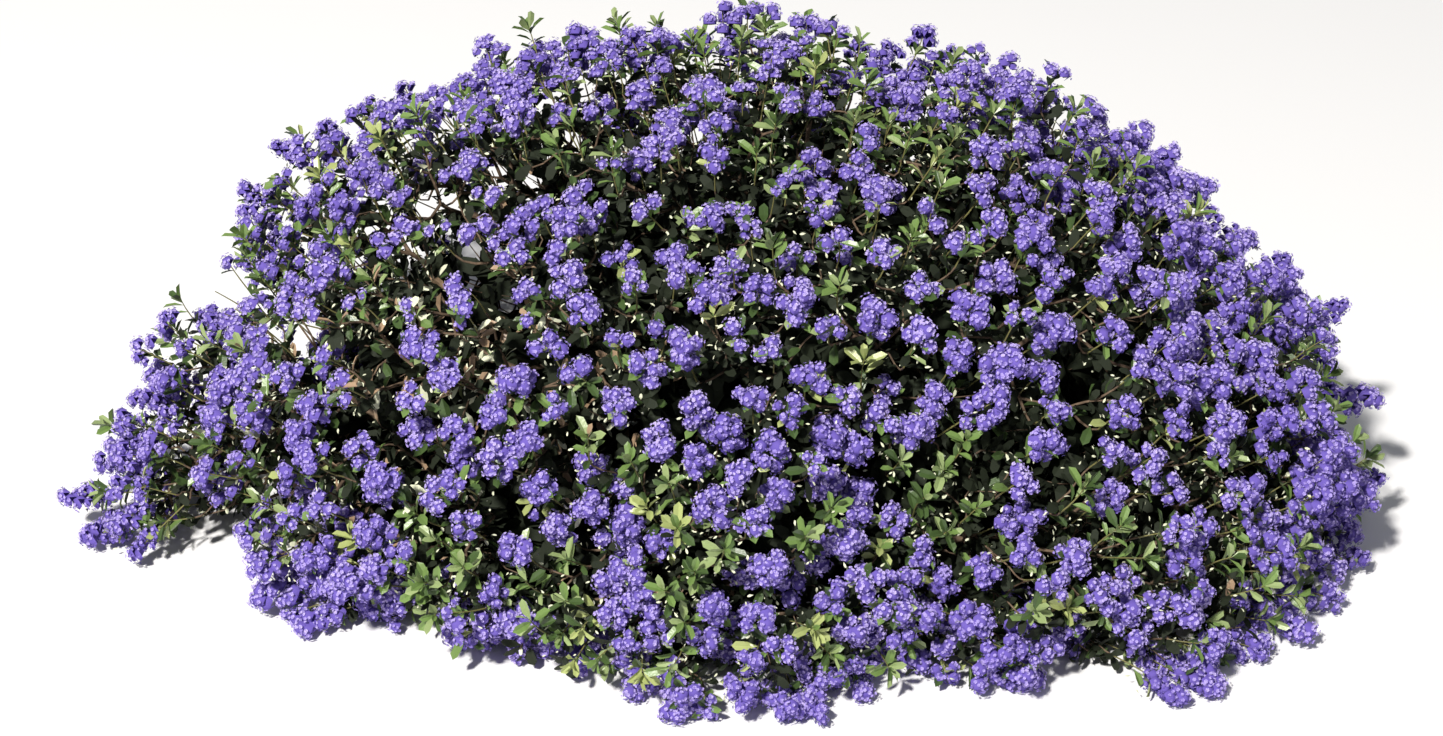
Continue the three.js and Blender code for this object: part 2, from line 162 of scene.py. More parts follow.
RELIEF = [  # where the surface lies deeper, or further out below zero
    # left of the back
    (127, 53, 8, 6, -0.02), (134, 47, 6, 6, -0.03), (140, 42, 5, 5, -0.03),
    (150, 34, 8, 6, 0.015),
    # left arm and left end
    (179, 20, 7, 4, 0.03), (183, 13, 6, 4, 0.02), (189, 8, 5, 4, 0.05), (199, -2, 5, 7, 0.10),
    # front left
    (219, 0, 8, 7, 0.14), (232, 0, 10, 7, 0.14), (246, 0, 7, 7, 0.04), (248, 23, 8, 10, 0.07),
    # front
    (262, 66, 20, 9, 0.10), (269, 0, 9, 8, 0.06), (289, 43, 7, 5, 0.05),
    # front right
    (297, 33, 8, 9, 0.10), (297, 0, 7, 7, 0.06), (311.5, 0, 6, 7, 0.17), (318, 1, 7, 7, -0.07),
    (325, 74, 18, 7, 0.07), (330, 1, 8, 7, 0.03),
    # right end, then right of the back
    (358, 12, 10, 12, 0.03), (6, 29, 10, 8, 0.12), (19, 44, 6, 5, 0.05), (30, 72, 14, 7, 0.04),
    (31, 49, 8, 5, 0.12), (52, 55.5, 9, 5, 0.12),
]
THIN = [  # where fewer shoots grow
    (213, 48, 12, 13, 0.36),
    (152, 31, 20, 14, 0.35),
    (134, 8, 20, 14, 0.35),
    (201, -3, 6, 9, 1.6),  # under the left arm, which stands clear of the ground
]
DRY = [  # where dry leaves hang on
    (207, 34, 16, 12, 0.55),
    (226, 43, 18, 16, 0.65),
    (198, 14, 14, 8, 0.30),
    (250, 20, 8, 8, 0.15),
    (335, 10, 16, 8, 0.12),
]

# ---- the lanes through which the sky shows
# Azimuth and elevation on the near side, those on the far side and there the share of the crown's
# radius, and last the lane's own radius.
LANES = [
    # gaps of the upper left, and small ones at the top
    (206, 33, 153, 2, 1.0, 13), (202, 31, 167, 11, 1.0, 7), (207, 52, 130, 11, 1.0, 9),
    (204, 50, 134, 11, 1.0, 10), (218, 50, 127, 2, 1.0, 11), (221, 47.5, 129.7, 0, 0.94, 10),
    (227.4, 47.5, 129.1, 0, 0.83, 10), (224.6, 44.8, 134.8, 0, 0.82, 7),
    (184, 56, 132, 23, 1.0, 8), (190, 71, 113, 25, 1.0, 8), (210, 67, 114, 17, 1.0, 9),
    (215, 60, 119, 11, 1.0, 8), (207, 58, 124, 14, 1.0, 9), (205, 42, 144, 7, 1.0, 7),
    (243, 75, 97, 16, 1.0, 7), (328, 77, 75, 24, 1.0, 7),
    # notch above the left arm
    (191, 29, 168, 16, 1.0, 17), (185, 25, 171, 16, 1.0, 14), (185, 27, 170, 17.5, 1.0, 13),
    (180.6, 25.6, 170.8, 19.5, 1.0, 10),
    # notch under it
    (198.5, 5.3, 191.1, 0, 0.88, 9), (202, 8.6, 189.8, 0, 0.84, 12),
    (205.4, 11, 189.7, 0, 0.81, 10), (202.3, 6.7, 193.1, 0, 0.87, 15),
    (208, 9.5, 195, 0, 0.88, 9),
]
LANE_END = 30  # how far a lane runs on beyond the crown's surface
LANE_COST = 150  # what it adds to a twig's way to cross a lane
LANE_MARGINS = {"twig": 4, "shoot": -1, "leaf": 0, "umbel": 3.85}  # how much wider a lane is for each
LEAF_SAMPLES = (0.15, 0.6, 1.0)  # spots along a leaf that stay out of the lanes

# ---- twigs
TWIG_TIP = 0.95  # radius at the end of a twig
SHOOT_TIP = 0.6
SHOOT_BEND = 2.5  # how far a shoot's middle strays
FORK_STRAY = 0.05  # share of its span by which a twig's fork strays
BEND_STRAY = 0.04  # and the bend before that
STEADY = 0.45  # share of a twig's last span that keeps to its shoot's way
FORK_SWELL = 1.08  # how much thicker a twig starts
HUB_AHEAD = 8  # how far the limb to the hub keeps to its bough's heading
HUB_TAPER = np.array([0.95, 0.93, 0.88, 0.8])  # shares of the bough's tip radius along that limb
HUB_SIDES = 7
LARGEST_TWIG = 0.9  # such a share too
TWIG_STEPS = 3  # on each side of its fork
TWIG_SIDES = 4
INNER_STEPS = 2
INNER_SIDES = 3
SHOOT_STEPS = 4
SHOOT_SIDES = 3
LOWEST = 3  # nothing comes nearer to the ground than this, and nearer than these
LOWEST_TWIG = 6  # no twig,
LOWEST_FORK = 9  # fork,
LOWEST_END = 12  # shoot's lower end
LOWEST_INNER_TIP = 16  # and inner shoot's tip
BARRED = 1e9  # a cost that no twig takes

# ---- leaves
# Leaf colours. The near-black shade and the dark green are painted shade on leaves inside the crown and on
# outer leaves that would get little light; the lightest green is painted light on the best-lit outer
# leaves.
LEAF_SHADES = {
    "young": (166, 176, 112),
    "light": (144, 161, 108),
    "green": (110, 136, 74),
    "dark": (68, 89, 48),
    "dead": (168, 142, 114),
    "shade": (37, 43, 31),
    # the palest: the colour of bleached dry leaves, and painted glints on small leaves
    "pale": (226, 229, 198),
}
LEAF_WIDTH = 0.41  # of its length
# Outer leaves get their shade by painted light: a random share, more in a rosette, and painted shade under
# a head and from pair to pair behind a rosette.
LEAF_STEPS = [(0.80, "light"), (0.36, "green"), (0.0, "dark")]  # the least painted light for each shade
EVEN_LIGHT = 0.06  # what every outer leaf gets besides a random share
ROSETTE_LIGHT = 0.12  # and the painted light it gets in a rosette,
HEAD_LIGHT = -0.08  # painted shade under a head
PAIR_LIGHT = -0.18  # and more painted shade from pair to pair behind a rosette
DRY_OUTER = 0.10  # of the outer leaves in dry patches, those that are brown
DRY_INNER = (0.30, 0.45)  # of the inner ones, those that are brown, and with the bleached ones
YOUNG_SPRAYS = 0.14  # of the shoots, those with young leaves,
YOUNG_LIGHT = 0.45  # where they get as much light as this
ROLL = 0.35  # how much an outer leaf is rolled about its own line
TWIG_ROLL = 0.5  # and one on a twig
INNER_ROLL = 0.4  # or on an inner shoot
TWIG_LEAN = (0.6, 1.5)  # how far the leaves lean off their twig or shoot, in radians
INNER_LEAN = (0.5, 1.4)
HEAD_LEAN = (0.6, 1.35)
PAIR_LEAN = (0.7, 1.3)
ROSETTE_LEAN = (0.25, 0.95)  # at its first leaf, and more at its last
HEAD_LEAF = (13, 24)  # lengths
ROSETTE_LEAF = (13, 20)
PAIR_LEAF = (13, 23)
DRY_LEAF = (10, 22)
DRY_WIDTH = (0.3, 0.5)
FLECK_LEAF = (3.4, 6)  # the smallest, pale ones behind the outer shoots' tips: painted glints
FLECK_WIDTH = 0.42
FLECK_STRAY = 0.8
FLECKS_BEHIND = (14, 62)  # the tip,
FLECKS_BESIDE = (2, 20)  # and beside the shoot
HEAD_FLECKS = 9  # on a flowering shoot
ROSETTE_FLECKS = 12  # on a leafy one
SMALL_LEAF = (4, 8)  # inside the crown: now and then a small one near the surface, pale as a painted glint,
DEEP_LEAF = (30, 42)  # large ones in painted shade
SHADE_LEAF = (15, 24)  # and others
SMALL_ABOVE = 0.80  # of a random share, from here a leaf is such a small one
DARKEST_BELOW = 0.68  # and up to here it is of the darkest, near-black painted shade
DEEP = 0.66  # share of the crown's radius within which leaves are the large ones in painted shade
SHADE_WIDTH = 0.5
DEEP_WIDTH = 0.56
LEAF_GAP = 4.8  # along a twig
INNER_LEAVES = 12  # on each inner shoot
HEAD_LEAVES = (4, 8)  # least number, and the number that it stays under
BEHIND_HEAD = (-8, 14)  # where they sit
ROSETTE_LEAVES = (5, 9)
ROSETTE_DEPTH = 8  # from its first leaf to its last
PAIR_GAP = 12  # along a shoot
PAIR_SLIP = (-3, 3)  # how far its leaves slip along it
PAIR_STRAY = 0.4  # and round it
FIRST_PAIR = 14  # behind the tip
ROSETTE_GROWTH = 5  # how much longer the last one is

# ---- umbels
UMBEL = 7.7  # radius of a middling one
UMBEL_SIZES = (0.66, 1.16)
UMBEL_STEP = 3.5  # along the shoot from one to the next
FIRST_UMBEL = 0.25  # of a step behind the tip
UMBEL_LEAN = (1.1, 1.6)
UMBEL_STRAY = 0.3
UMBELS = [3, 4, 5, 6, 8, 10, 12, 14, 16]  # umbels in a head, and how often
UMBEL_ODDS = [0.07, 0.11, 0.13, 0.16, 0.16, 0.14, 0.11, 0.08, 0.04]
HEAD_SIZES = (0.86, 1.14)
HEAD_GIRTH = (1.5, 10.0)  # of the umbels from the shoot at a head's ends, and more in its middle
HEAD_SHAPE = (0.1, 0.75)  # the stretch of half a sine that it follows
HEAD_SPREAD = (0.75, 1.25)  # how much that varies
FLORET = 1.45  # radius of an open one
FLORET_COVER = 0.40  # share of the ball that the florets on it cover
FLORET_SCATTER = 0.16  # how far they stray on the ball
FLORET_HEIGHTS = (0.84, 1.2)  # shares of the umbel's radius
FLORET_TILT = 0.22
FLORET_SUNK = 0.45  # depth of its middle
PETALS = 5
PETAL_REACH = (0.95, 1.45)  # shares of the floret's radius
PETAL_HALF = 0.49  # half of its angle, in radians
PETAL_LIFT = (-0.1, 0.8)
INWARD = -0.02  # florets that face more into the crown than this are left out,
HEART_INWARD = -0.3  # and faces of the ball under them
HEART = 0.93  # share of the umbel's radius that this ball has
# Petal shades, dealt partly by each shoot's random tone and partly as painted light and shade: florets that
# face the sky and out of the crown get the lighter ones, those that face down or in the darker ones, down
# to indigo.
BLOSSOM = [  # each shade of petal, and the share of the petals that has it or a lighter one
    ("pale_lilac", (194, 180, 232), 0.06),
    ("lilac", (184, 169, 228), 0.25),
    ("lavender", (173, 157, 222), 0.52),
    ("violet", (157, 140, 211), 0.74),
    ("deep_violet", (125, 108, 187), 0.87),
    ("indigo", (78, 64, 143), 1.0),
]
# colour of the ball under each umbel's florets, darker than the petals: painted shade in the gaps between
# them
BLOSSOM_HEART_SHADE = (106, 90, 172)
TONE_LIGHT = 0.40  # how much lighter a petal is by its shoot's tone,
SKY_PAINTED_LIGHT = 0.32  # painted light, as it faces the sky
OUTWARD_PAINTED_LIGHT = 0.26  # and painted light as it faces out of the crown, painted shade as it faces in
FLORET_VARIETY = 0.06  # and by chance, floret by floret
PETAL_VARIETY = 0.07  # and petal by petal

# ---- bark, floor, light and camera
STEM_PROFILE = [  # height and radius: root flare, neck and top
    (0, STEM["root"]),
    (9, STEM["root"] * 0.86),
    (26, STEM["neck"] * 1.04),
    (50, STEM["neck"]),
    (72, STEM["neck"] * 0.78),
    (STEM["height"], STEM["top"]),
]
STEM_RINGS = 46
STEM_SIDES = 56
STEM_FOOT = 0.5  # above the ground
STEM_CAP = 2.0  # height of the low cone on its top
BOUGH_STEPS = 24
BOUGH_SIDES = 14
BOUGH_SLIM = 0.985  # share of the solid's radius
BOUGH_CAP = 0.2  # how far its last ring lies ahead, and its share of the tip's radius
BROAD_RIDGES = (2.6, 0.16)  # how fast the bark changes round a limb and from ring to ring
FINE_RIDGES = (7, 0.4)
STEM_RIDGES = 0.09  # depths of the broad ones, as shares of the radius
BOUGH_RIDGES = 0.10
FINE_DEPTH = 0.5  # next to the broad ones'
BARK = {  # the dark and the light brown, and how fine the streaks are
    "stem_bark": ((88, 68, 54), (140, 120, 102), 60),
    "bough_bark": ((84, 60, 44), (132, 104, 80), 120),
    "twig_bark": ((80, 64, 50), (122, 102, 82), 160),
}
BARK_MIX = (0.35, 0.68)  # values of the noise at which it is all dark and all light
GREEN_WOOD = (122, 118, 70)
RELIEF_HEIGHT = 0.0006  # metres, from here on
LIGHTS = [  # place, diameter, power and colour
    ("key", (-2.7, -5.1, 6.9), 0.6, 1130, (1.0, 0.97, 0.93)),
    ("fill", (2.4, -1.8, 2.0), 2.5, 4, (0.9, 0.94, 1.0)),
]
LIT_POINT = (0, 0, 0.15)
SKY_COLOUR = (0.93, 0.96, 1.0, 1)
SKY_STRENGTH = 0.21
FLOOR_SIZE = 40
FLOOR_HEIGHT = -0.0005
FLOOR_COLOUR = (0.92, 0.92, 0.92, 1)
CAMERA_AIM = (-0.030, 0.0, 0.130)
CAMERA_ELEVATION = 33
CAMERA_DISTANCE = 2.65
CAMERA_LENS = 67
CAMERA_SENSOR = 36

rng = np.random.default_rng(7)


def unit(v):
    v = np.asarray(v, float)
    return v / norm(v, axis=-1, keepdims=True)


def square_to(ways):
    """Two directions square to each way and to each other."""
    ways = np.asarray(ways)
    helper = np.where(np.abs(ways[..., 2:]) < 0.9, [0, 0, 1.0], [1.0, 0, 0])
    side = unit(np.cross(helper, ways))
    return side, np.cross(ways, side)


def around(way, lean, angle):
    """A direction that leans off the way by one angle, turned round it by the other, in radians."""
    u, v = square_to(way)
    side = math.cos(angle) * u + math.sin(angle) * v
    return unit(math.cos(lean) * way + math.sin(lean) * side)


def bezier(a, b, c, steps):
    t = np.linspace(0, 1, steps + 1)[:, None]
    return (1 - t) ** 2 * a + 2 * t * (1 - t) * b + t**2 * c


def ripple(point, breadth):
    """Smooth noise with waves of about this breadth."""
    return noise.noise(Vector(point / breadth))


def between(ends, size=None):
    return rng.uniform(*ends, size)


def any_angle():
    return rng.uniform(0, 2 * np.pi)


# ---- the crown, as in the part's source
def angles_of(d):
    flat = np.hypot(d[:, 0], d[:, 1])
    return np.degrees(np.arctan2(d[:, 1], d[:, 0])), np.degrees(np.arctan2(d[:, 2], flat))


def patch(azimuths, elevations, azimuth, elevation, wide, high):
    """A soft round patch on the crown: 1 in its middle, and fading outwards."""
    turn = (azimuths - azimuth + 540) % 360 - 180
    side = turn * np.cos(np.radians(elevations)) / wide
    return np.exp(-(side**2) - ((elevations - elevation) / high) ** 2)


def patches(directions, table):
    """The sum of a table's patches at each direction."""
    d = np.atleast_2d(directions)
    azimuths, elevations = angles_of(d)
    total = np.zeros(len(d))
    for *place, share in table:
        total += share * patch(azimuths, elevations, *place)
    return total


def reach_at(azimuth):
    """The crown's reach over the ground, on a smooth closed curve through the values of REACH."""
    n = len(REACH)
    values = np.array(REACH, float)
    t = (azimuth % 360) / 360 * n
    i = np.floor(t).astype(int)
    f = t - i
    a, b, c, d = (values[(i + k) % n] for k in (-1, 0, 1, 2))
    square, cube = 2 * a - 5 * b + 4 * c - d, 3 * b - a - 3 * c + d
    return 0.5 * (2 * b + (c - a) * f + square * f**2 + cube * f**3)


def crown_radius(directions):
    d = np.atleast_2d(directions).astype(float)
    length = norm(d, axis=1)
    azimuths, elevations = angles_of(d)
    across = np.hypot(d[:, 0], d[:, 1]) / length / reach_at(azimuths)
    up = np.abs(d[:, 2]) / length / CROWN_HEIGHT
    radius = (across**ROUNDNESS + up**ROUNDNESS) ** (-1 / ROUNDNESS)
    for *place, share in SWELLS:
        radius *= 1 + share * patch(azimuths, elevations, *place)
    return radius


def depth(point):
    """A point's distance from the origin as a share of the crown's radius there."""
    p = np.atleast_2d(point)
    return (norm(p, axis=1) / crown_radius(p))[0]


def at_depth(directions, share):
    d = np.atleast_2d(directions)
    return unit(d) * (crown_radius(d) * share)[:, None]


def dome_direction(azimuth, elevation):
    a, e = np.radians(azimuth), np.radians(elevation)
    return np.stack([np.cos(a) * np.cos(e), np.sin(a) * np.cos(e), np.sin(e) + 0 * a], axis=-1)


def seeded(seed):
    """The source's random numbers, so that its masses and these are the same."""
    state = seed

    def draw():
        nonlocal state
        state = (state + 0x6D2B79F5) & 0xFFFFFFFF
        t = ((state ^ (state >> 15)) * (state | 1)) & 0xFFFFFFFF
        t ^= (t + (t ^ (t >> 7)) * (t | 61)) & 0xFFFFFFFF
        return ((t ^ (t >> 14)) & 0xFFFFFFFF) / 4294967296

    return draw


class Mass:
    """One mass of foliage: where its bough runs and where its twigs start."""

    def __init__(self, tier, azimuth, elevation, joins):
        self.root = tier.root
        self.tip = tier.tip
        self.dome = dome_direction(azimuth, elevation)
        self.direction = unit(self.dome * STRETCH)
        end = at_depth(self.direction, BOUGH_END)[0]
        if tier.count == 1:
            start = np.array([0, 0, STEM["height"] - TOP_BOUGH_SUNK], float)
            bend = (start + end) / 2
        else:
            start = dome_direction(azimuth, 0.0) * BOUGH_START
            start[2] = joins - BOUGH_LOWERED
            bend = end / 2
            bend[2] = (start[2] + end[2]) / 2 + tier.arch
        self.path = bezier(start, bend, end, BOUGH_STEPS)
        coarse = bezier(start, bend, end, SOURCE_STEPS)
        self.heading = unit(coarse[-1] - coarse[-2])
        self.start = end + self.heading * CLEAR
        self.hub = at_depth(self.direction, HUB)[0]


def make_masses():
    draw = seeded(SOURCE_SEED)
    made = []
    for tier in TIERS:
        for i in range(tier.count):
            azimuth = tier.first + 360 / tier.count * i + WANDER[0] * (2 * draw() - 1)
            elevation = tier.elevation + WANDER[1] * (2 * draw() - 1)
            joins = tier.joins + (STAGGER if i % 2 else -STAGGER)
            made.append(Mass(tier, azimuth, elevation, joins))
    return made


MASSES = make_masses()
DOMES = np.array([mass.dome for mass in MASSES])


# ---- meshes from arrays
class Bag:
    """Gathers vertices and faces of one size into one mesh."""

    def __init__(self):
        self.vertices = []
        self.faces = []
        self.count = 0

    def add(self, vertices, faces):
        self.vertices.append(np.asarray(vertices, float))
        self.faces.append(np.asarray(faces, int) + self.count)
        self.count += len(vertices)


def add_object(name, data):
    made = bpy.data.objects.new(name, data)
    bpy.context.scene.collection.objects.link(made)
    return made


def add_piece(name, bag, look, stands_for, smooth=False):
    vertices, faces = np.concatenate(bag.vertices), np.concatenate(bag.faces)
    corners = faces.shape[1]
    mesh = bpy.data.meshes.new(name)
    mesh.vertices.add(len(vertices))
    mesh.vertices.foreach_set("co", (vertices / 1000).astype(np.float32).ravel())
    mesh.loops.add(faces.size)
    mesh.loops.foreach_set("vertex_index", faces.astype(np.int32).ravel())
    mesh.polygons.add(len(faces))
    mesh.polygons.foreach_set("loop_start", np.arange(0, faces.size, corners, dtype=np.int32))
    mesh.polygons.foreach_set("use_smooth", np.full(len(faces), smooth))
    mesh.update(calc_edges=True)
    mesh.materials.append(look)
    piece = add_object(name, mesh)
    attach(piece, "root")
    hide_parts(*stands_for)


def tube(bag, points, radii, sides, relief=None):
    """A limb of quads along some points, open at both ends."""
    points = np.asarray(points, float)
    ways = unit(np.gradient(points, axis=0))
    angles = 2 * np.pi * np.arange(sides) / sides
    u, _ = square_to(ways[0])
    rings = []
    for i, (point, way, radius) in enumerate(zip(points, ways, radii)):
        u = unit(u - way * (u @ way))
        v = np.cross(way, u)
        out = np.cos(angles)[:, None] * u + np.sin(angles)[:, None] * v
        r = np.full(sides, float(radius))
        if relief is not None:
            r = r * relief(i, angles)
        rings.append(point + out * r[:, None])
    k = np.arange(sides)
    faces = []
    for i in range(len(points) - 1):
        a, b = i * sides + k, i * sides + (k + 1) % sides
        faces.append(np.stack([a, b, b + sides, a + sides], axis=1))
    bag.add(np.concatenate(rings), np.concatenate(faces))


# ---- lanes
def lane_ends():
    """Each lane's two ends, from the near side of the crown to the far side, and its radius."""
    for near_azimuth, near_elevation, far_azimuth, far_elevation, far_depth, radius in LANES:
        near = at_depth(dome_direction(near_azimuth, near_elevation), 1.0)[0]
        far = at_depth(dome_direction(far_azimuth, far_elevation), far_depth)[0]
        yield near, far, radius


LANE_ENDS = list(lane_ends())


def in_lanes(points, margin):
    """Which points lie in one of the lanes, or within a margin of it."""
    p = np.atleast_2d(points)
    inside = np.zeros(len(p), bool)
    for near, far, radius in LANE_ENDS:
        line, long = unit(far - near), norm(far - near)
        offset = p - near
        along = np.clip(offset @ line, -LANE_END, long + LANE_END)
        inside |= norm(offset - along[:, None] * line, axis=1) < radius + margin
    return inside


# ---- shoots
class Shoot:
    """A shoot at the end of a twig, on its way to a spot of the crown's surface."""

    inner = False

    def __init__(self, surface, mass):
        self.mass = mass
        self.out = unit(surface)

    def place(self, tip):
        """Sets the shoot's tip, its lower end, which stays above the ground, and its way between them."""
        self.tip = tip
        self.end = tip - self.way * self.length
        self.end[2] = max(self.end[2], LOWEST_END)
        self.way = unit(self.tip - self.end)
        self.dry = max(0, patches(tip, DRY)[0])


class OuterShoot(Shoot):
    """A leafy or flowering shoot at the crown's surface. A spike is one whose reach, as a share of the
    crown's radius, and rise are given."""

    count, turned, top = 1180, 0, 1.0  # as spread_surfaces takes them

    def __init__(self, surface, mass, reach=None, rise=0.0):
        super().__init__(surface, mass)
        spike = reach is not None
        mound = ripple(surface, MOUNDS) + FINER_SHARE * ripple(surface, FINER_MOUNDS)
        share = BLOOM_SHARE + patches(surface, BLOOM)[0] + BLOOM_BY_MOUND * mound
        share += BLOOM_BY_DRIFT * ripple(surface, DRIFTS)
        self.blooms = spike or rng.random() < share
        self.slim = SPIKE_SLIM if spike else 1.0
        self.umbels = SPIKE_UMBELS if spike else umbel_count(surface)
        if self.blooms:
            self.length = FLOWERING_LENGTH + LENGTH_PER_UMBEL * self.umbels
        else:
            self.length = between(LEAFY_LENGTH)
        if not spike and surface[2] >= NO_RISE_BELOW:
            rise = FLOWERING_RISE if self.blooms else LEAFY_RISE
        way = unit(unit(surface - mass.start) + self.out)
        self.way = unit(way + np.array([0, 0, rise]) + rng.normal(0, SPIKE_STRAY if spike else STRAY, 3))
        usual = self.usual_reach(surface, mound)
        tip = at_depth(surface, reach if spike else usual)[0] - self.way * UMBEL * 0.5
        tip[2] = max(tip[2], UMBEL + LOWEST + 1)
        self.place(tip)
        self.tone = rng.random()

    def usual_reach(self, surface, mound):
        """The share of the crown's radius at which the shoot ends if it is no spike."""
        high = min(max(surface[2] / UPPER_HEIGHT, 0), 1)
        spread = TIP_SPREAD[0] - (TIP_SPREAD[0] - TIP_SPREAD[1]) * high
        share = 1 - FOOT_DEPTH * (1 - high) - spread * rng.random() ** SPREAD_POWER + MOUND_HEIGHT * mound
        if self.blooms and rng.random() < UNDER_SHARE:
            share -= between(UNDER_DEPTH)
        return share - patches(surface, RELIEF)[0]


def umbel_count(surface):
    small = patches(surface, SMALL)[0]
    return max(2, round(rng.choice(UMBELS, p=UMBEL_ODDS) * (1 - small)))


class InnerShoot(Shoot):
    """A short leafy shoot in the crown's shade, behind the outer ones."""

    count, turned, top = 860, 77, 1.0
    depths = (0.60, 0.88)  # shares of the crown's radius between which it ends
    inner = True

    def __init__(self, surface, mass):
        super().__init__(surface, mass)
        self.length = between(INNER_LENGTH)
        self.way = unit(unit(surface - mass.start) + self.out + rng.normal(0, INNER_STRAY, 3))
        tip = at_depth(surface, between(self.depths) - patches(surface, RELIEF)[0])[0]
        tip[2] = max(tip[2], LOWEST_INNER_TIP)
        self.place(tip)


class SkirtShoot(InnerShoot):
    """One of them near the ground, where the crown is thin and its foot shows."""

    count, turned, top = 170, 31, 0.24
    depths = (0.76, 0.95)


class DeepShoot(InnerShoot):
    """One of them near the crown's middle, where little light comes."""

    count, turned = 170, 53
    depths = (0.36, 0.60)


def spread_surfaces(count, turned, top):
    """Evenly spread spots on the crown, on a spiral that is turned by some degrees and goes up to the
    elevation whose sine is top, and their directions on a round dome."""
    i = np.arange(count)
    elevation = np.degrees(np.arcsin(top * ((i + 0.5) / count) ** SKIRT))
    dome = dome_direction(np.degrees(GOLDEN * i) + turned, elevation)
    return at_depth(dome * STRETCH, 1.0), dome


def make_shoots(kind):
    """The shoots of one kind, each at the end of a twig of the mass that is nearest in direction."""
    surfaces, dome = spread_surfaces(kind.count, kind.turned, kind.top)
    nearest = np.argmax(dome @ DOMES.T, axis=1)
    thin = patches(surfaces, THIN)
    shoots = []
    for surface, mass, skipped in zip(surfaces, nearest, thin):
        if rng.random() < skipped:
            continue
        shoot = kind(surface, MASSES[mass])
        if shoot.inner or not in_lanes([shoot.end, shoot.tip], LANE_MARGINS["shoot"]).any():
            shoots.append(shoot)
    return shoots


def make_spikes():
    shoots = []
    for azimuth, elevation, reach, rise in SPIKES:
        way = dome_direction(azimuth, elevation)
        mass = MASSES[int(np.argmax(DOMES @ unit(way / STRETCH)))]
        shoots.append(OuterShoot(at_depth(way, 1.0)[0], mass, reach, rise))
    return shoots


# ---- twigs
TWIGS = Bag()
GREEN_TWIGS = Bag()


class Growth:
    """A mass's twigs by the source's rule: each shoot, from the nearest to the hub outwards, grows from
    the point that gives it the shortest way, the gap plus a share of the way back to the bough."""

    def __init__(self, mass, shoots):
        self.mass = mass
        self.points = [mass.start, mass.hub]
        self.parents = [-1, 0]
        self.ways = [0.0, norm(mass.hub - mass.start)]  # back to the bough
        self.tips = [False, False]
        self.shoots = sorted(shoots, key=lambda shoot: norm(shoot.end - mass.hub))
        for shoot in self.shoots:
            self.reach_for(shoot)
        load = np.array([TWIG_TIP**TWIG_GROWTH if tip else 0.0 for tip in self.tips])
        for i in range(len(self.points) - 1, 0, -1):
            load[self.parents[i]] += load[i]
        radii = np.maximum(load, TWIG_TIP) ** (1 / TWIG_GROWTH)
        self.radii = np.minimum(radii, mass.tip * LARGEST_TWIG)

    def reach_for(self, shoot):
        spans = norm(np.array(self.points) - shoot.end, axis=1)
        cost = spans + WAY_SHARE * np.array(self.ways) + BARRED * np.array(self.tips)
        cost += LANE_COST * in_lanes((np.array(self.points) + shoot.end) / 2, LANE_MARGINS["twig"])
        cost[0] = BARRED
        best = int(np.argmin(cost))
        span = spans[best]
        middle = (self.points[best] + shoot.end) / 2 + self.mass.direction * TWIG_ARCH * span
        middle = middle + rng.normal(0, FORK_STRAY * span, 3)
        middle[2] = max(middle[2], LOWEST_FORK)
        way = self.ways[best] + norm(middle - self.points[best])
        self.add(middle, best, way, False)
        self.add(shoot.end, len(self.points) - 1, way + span / 2, True)
        shoot.node = len(self.points) - 1

    def add(self, point, parent, way, tip):
        self.points.append(point)
        self.parents.append(parent)
        self.ways.append(way)
        self.tips.append(tip)

    def add_stem(self):
        """The limb that carries on from the bough's tip to the hub."""
        start, hub = self.points[:2]
        path = [start, start + self.mass.heading * HUB_AHEAD, (start + hub) / 2, hub]
        tube(TWIGS, path, self.mass.tip * HUB_TAPER, HUB_SIDES)

    def add_twig(self, shoot):
        """The twig that ends in a shoot, with its leaves, unless it only leads an inner one into a lane."""
        middle = self.parents[shoot.node]
        a, b, c = (self.points[i] for i in (self.parents[middle], middle, shoot.node))
        forks = self.parents.count(middle) > 1
        samples = [(a + b) / 2, b, (b + c) / 2, c]
        if shoot.inner and not forks and in_lanes(samples, LANE_MARGINS["leaf"]).any():
            return False
        steps = INNER_STEPS if shoot.inner else TWIG_STEPS
        bend = (a + b) / 2 + rng.normal(0, BEND_STRAY * norm(b - a), 3)
        inner = bezier(a, bend, b, steps)
        outer = bezier(b, c - shoot.way * norm(c - b) * STEADY, c, steps)
        path = np.concatenate([inner, outer[1:]])
        path[:, 2] = np.maximum(path[:, 2], LOWEST_TWIG)
        thick = self.radii[middle]
        thinning = np.linspace(thick * FORK_SWELL, thick, steps + 1)
        radii = np.concatenate([thinning, np.linspace(thick, TWIG_TIP, steps + 1)[1:]])
        tube(TWIGS, path, radii, INNER_SIDES if shoot.inner else TWIG_SIDES)
        dress_twig(path[::2], shoot.dry)
        return True


def grow_crown():
    shoots = make_spikes()
    for kind in (OuterShoot, InnerShoot, SkirtShoot, DeepShoot):
        shoots += make_shoots(kind)
    for number, shoot in enumerate(shoots):
        shoot.number = number
    for mass in MASSES:
        growth = Growth(mass, [shoot for shoot in shoots if shoot.mass is mass])
        growth.add_stem()
        for shoot in growth.shoots:
            if growth.add_twig(shoot):
                dress = dress_inner if shoot.inner else dress_flowering if shoot.blooms else dress_leafy
                dress(shoot)


# ---- leaves on the shoots
Leaf = namedtuple("Leaf", "root along up length width shade")
leaves = []


def add_leaf(root, along, up, length, shade, width=LEAF_WIDTH):
    leaves.append(Leaf(root, unit(along), up, length, length * width, shade))


def rolled(way):
    """Where a leaf's upper side faces: along its shoot, rolled a little."""
    return way + rng.normal(0, ROLL, 3)


def outer_shade(shoot, lit):
    """The shade of an outer leaf: young ones are lighter, some are dry, and the rest get painted light or
    painted shade by how lit they would be.
    """
    if rng.random() < DRY_OUTER * shoot.dry:
        return "dead"
    light = rng.random() + lit + EVEN_LIGHT
    if shoot.tone < YOUNG_SPRAYS and light > YOUNG_LIGHT:
        return "young"
    for least, shade in LEAF_STEPS:
        if light > least:
            return shade
    return "shade"


